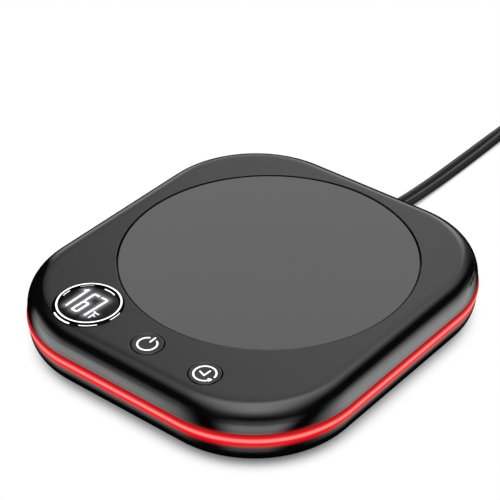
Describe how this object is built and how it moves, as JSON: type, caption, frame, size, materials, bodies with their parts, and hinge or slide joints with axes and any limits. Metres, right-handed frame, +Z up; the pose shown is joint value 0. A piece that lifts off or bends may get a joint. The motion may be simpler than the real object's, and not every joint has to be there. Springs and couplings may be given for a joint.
{
  "type": "electric mug warmer",
  "caption": "Rounded-square mug warmer with a round glass warming plate, round display, push buttons, lit side band and a coiled flat lead with plug.",
  "frame": {"origin": "on the table, under the middle of the case", "axes": "+Z up; -Y towards the buttons, the side a user faces; +Y where the lead leaves; +X to the user's right"},
  "size_m": [0.1595, 0.2736, 0.0223],
  "materials": {
    "shell_black": "fine satin, glossier on the rounded shoulder",
    "band_red": "translucent diffuser lit red from behind",
    "plate_glass": "polished black glass ceramic, opaque",
    "display_black": "smoked, polished",
    "display_white": "white light guide",
    "rubber_black": "soft matte",
    "cord_black": "satin flexible vinyl",
    "plug_black": "moulded vinyl, satin",
    "blade_brass": "nickel-plated, polished",
    "seal_grey": "silicone",
    "aluminium": "rolled",
    "steel": "zinc plated",
    "mica": "mica sheet",
    "insulation_white": "ceramic fibre felt",
    "board_green": "solder mask",
    "chip_black": "moulded epoxy",
    "part_white": "moulded nylon",
    "part_yellow": "boxed film part",
    "wire_grey": "insulated wire",
    "led_white": "lamp body"
  },
  "bodies": {
    "housing": {"base_cover": "shell_black", "top_housing": "shell_black", "light_band": "band_red", "led_boards": "part_white", "band_leds": "led_white", "rubber_feet": "rubber_black", "case_screws": "steel", "warming_plate": "plate_glass", "bond_pads": "seal_grey", "heat_spreader": "aluminium", "heater_element": "mica", "insulation_pad": "insulation_white", "heat_shield": "aluminium", "shield_screws": "steel", "temperature_sensor": "steel", "thermal_fuse": "aluminium", "control_board": "board_green", "control_board_screws": "steel", "display_bezel": "display_black", "display_light_ring": "display_white", "display_lens": "display_black", "display_module": "part_white", "power_switch_body": "chip_black", "timer_switch_body": "chip_black", "microcontroller": "chip_black", "buzzer": "chip_black", "power_board": "board_green", "power_board_screws": "steel", "terminal_block": "part_white", "film_capacitor": "part_yellow", "filter_capacitor": "chip_black", "triac": "chip_black", "heater_leads": "wire_grey", "mains_conductors": "wire_grey", "sensor_lead": "wire_grey", "board_ribbon": "wire_grey", "strain_relief": "cord_black", "power_cord": "cord_black", "cord_coil": "cord_black", "plug_lead": "cord_black", "plug_body": "plug_black", "plug_blades": "blade_brass"},
    "power_button": {"power_button_cap": "shell_black", "power_switch_plunger": "part_white"},
    "timer_button": {"timer_button_cap": "shell_black", "timer_switch_plunger": "part_white"}
  },
  "joints": [
    {"name": "power_button_press", "type": "slide", "parent": "housing", "child": "power_button", "axis": [0, 0, -1], "range_m": [0, 0.0005], "stiffness_N_per_m": 800, "springref_m": -0.0005},
    {"name": "timer_button_press", "type": "slide", "parent": "housing", "child": "timer_button", "axis": [0, 0, -1], "range_m": [0, 0.0005], "stiffness_N_per_m": 800, "springref_m": -0.0005}
  ]
}
